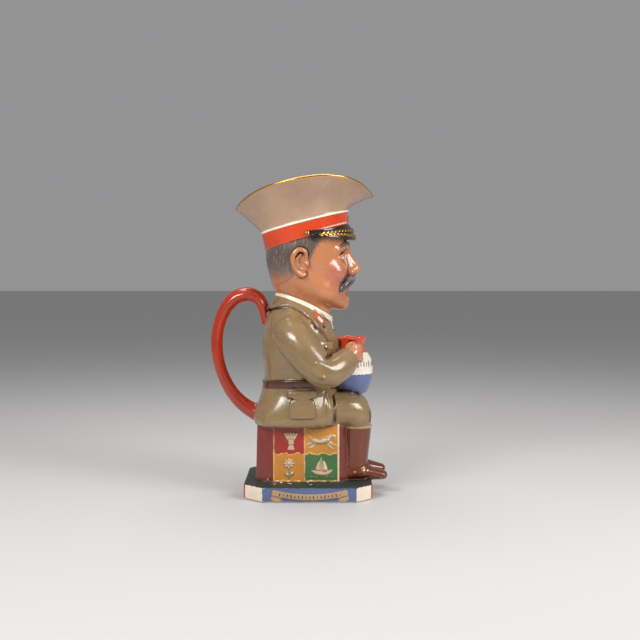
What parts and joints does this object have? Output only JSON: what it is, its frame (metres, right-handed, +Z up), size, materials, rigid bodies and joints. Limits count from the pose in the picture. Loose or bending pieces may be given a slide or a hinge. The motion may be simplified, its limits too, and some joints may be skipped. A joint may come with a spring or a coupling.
{
  "type": "toby jug",
  "caption": "Glazed earthenware toby jug: a seated officer figure on a panelled seat and plinth, with a flared cap as the pouring mouth and a red loop handle behind.",
  "frame": {"origin": "middle of the plinth's flat underside", "axes": "+X the way the figure faces, +Y the figure's left, +Z up"},
  "size_m": [0.1404, 0.1098, 0.2538],
  "materials": {
    "glazed_earthenware": "glazed earthenware, hand painted in khaki, red, cream, blue, ochre and green"
  },
  "bodies": {
    "root": {"toby_jug": "glazed_earthenware"}
  },
  "joints": []
}
